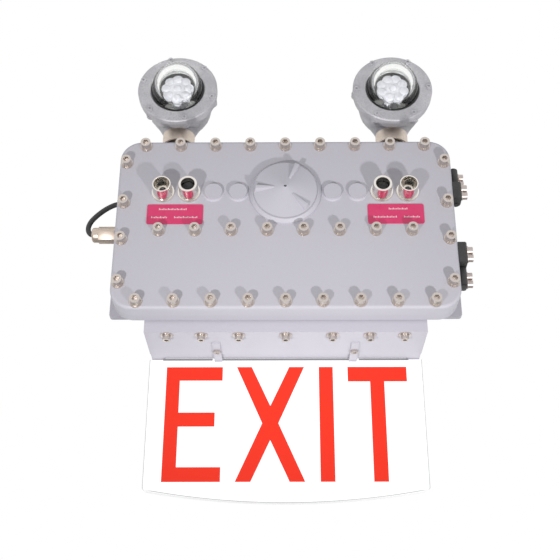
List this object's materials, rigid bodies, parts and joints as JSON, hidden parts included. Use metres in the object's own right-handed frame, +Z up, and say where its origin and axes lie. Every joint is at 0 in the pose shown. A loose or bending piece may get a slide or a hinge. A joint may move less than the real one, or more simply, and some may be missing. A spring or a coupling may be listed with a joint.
{
  "type": "emergency exit light",
  "caption": "Wall emergency exit light: bolted enclosure with turning lamp heads above, push buttons on the cover, and a sign panel hung below.",
  "frame": {"origin": "centre of the wall bolt pattern, on the back face of the mounting plate", "axes": "+Y into the wall, -Y out of the front cover towards the viewer, +Z up, +X to the viewer's right"},
  "size_m": [0.5188, 0.171, 0.6151],
  "materials": {
    "grey_paint": "fine satin powder coat",
    "plate_paint": "fine satin powder coat",
    "bolt_steel": "plain stainless",
    "device_metal": "polished stainless",
    "device_nut_metal": "plain",
    "indicator_lens": "dark translucent",
    "button_rubber": "matt",
    "label_film": "printed film",
    "hinge_black": "black satin",
    "gland_black": "black moulding",
    "cable_sheath": "matt",
    "pipe_steel": "zinc plated",
    "collar_nickel": "nickel plated",
    "dome_glass": "clear moulded",
    "reflector_satin": "satin",
    "lens_clear": "clear moulded",
    "board_white": "solder mask",
    "panel_acrylic": "opal sheet",
    "battery_sleeve": "shrink sleeve",
    "driver_green": "circuit board",
    "terminal_grey": "moulded"
  },
  "bodies": {
    "root": {"front_cover": "grey_paint", "housing": "grey_paint", "cover_bolts": "bolt_steel", "inspection_cap": "grey_paint", "indicator_left_body": "device_metal", "indicator_left_lens": "indicator_lens", "indicator_right_body": "device_metal", "indicator_right_lens": "indicator_lens", "button_left_guard": "device_metal", "button_right_guard": "device_metal", "device_nuts": "device_nut_metal", "label_left": "label_film", "label_right": "label_film", "hinge_upper_cover_leaf": "hinge_black", "hinge_upper_housing_leaf": "hinge_black", "hinge_lower_cover_leaf": "hinge_black", "hinge_lower_housing_leaf": "hinge_black", "hinge_pins": "hinge_black", "hinge_bolts": "hinge_black", "gland_lower_body": "gland_black", "gland_lower_nut": "gland_black", "gland_upper_body": "gland_black", "gland_upper_nut": "gland_black", "jumper_cable": "cable_sheath", "nipple_left": "pipe_steel", "nipple_right": "pipe_steel", "collar_left": "collar_nickel", "collar_right": "collar_nickel", "sign_box": "grey_paint", "sign_box_plate": "grey_paint", "sign_screws": "bolt_steel", "panel_clips": "bolt_steel", "clip_screws": "bolt_steel", "sign_panel": "panel_acrylic", "sign_light_bar": "board_white", "sign_box_screws": "bolt_steel", "mounting_plate": "plate_paint", "plate_screws": "bolt_steel", "battery_pack": "battery_sleeve", "driver_board": "driver_green", "terminal_block": "terminal_grey"},
    "button_left": {"button_left": "button_rubber"},
    "button_right": {"button_right": "button_rubber"},
    "head_left": {"head_left_shell": "grey_paint", "head_left_ring": "grey_paint", "head_left_glass": "dome_glass", "head_left_reflector": "reflector_satin", "head_left_board": "board_white", "head_left_lens": "lens_clear", "head_left_screws": "bolt_steel"},
    "head_right": {"head_right_shell": "grey_paint", "head_right_ring": "grey_paint", "head_right_glass": "dome_glass", "head_right_reflector": "reflector_satin", "head_right_board": "board_white", "head_right_lens": "lens_clear", "head_right_screws": "bolt_steel"}
  },
  "joints": [
    {"name": "button_left_press", "type": "slide", "parent": "root", "child": "button_left", "axis": [0, 1, 0], "range_m": [0, 0.0035], "stiffness_N_per_m": 400, "springref_m": -0.001},
    {"name": "button_right_press", "type": "slide", "parent": "root", "child": "button_right", "axis": [0, 1, 0], "range_m": [0, 0.0035], "stiffness_N_per_m": 400, "springref_m": -0.001},
    {"name": "head_left_pan", "type": "hinge", "parent": "root", "child": "head_left", "pos_m": [-0.1505, -0.076, 0.177], "axis": [0, 0, 1], "range_deg": [-90, 90]},
    {"name": "head_right_pan", "type": "hinge", "parent": "root", "child": "head_right", "pos_m": [0.1505, -0.076, 0.177], "axis": [0, 0, 1], "range_deg": [-90, 90]}
  ]
}
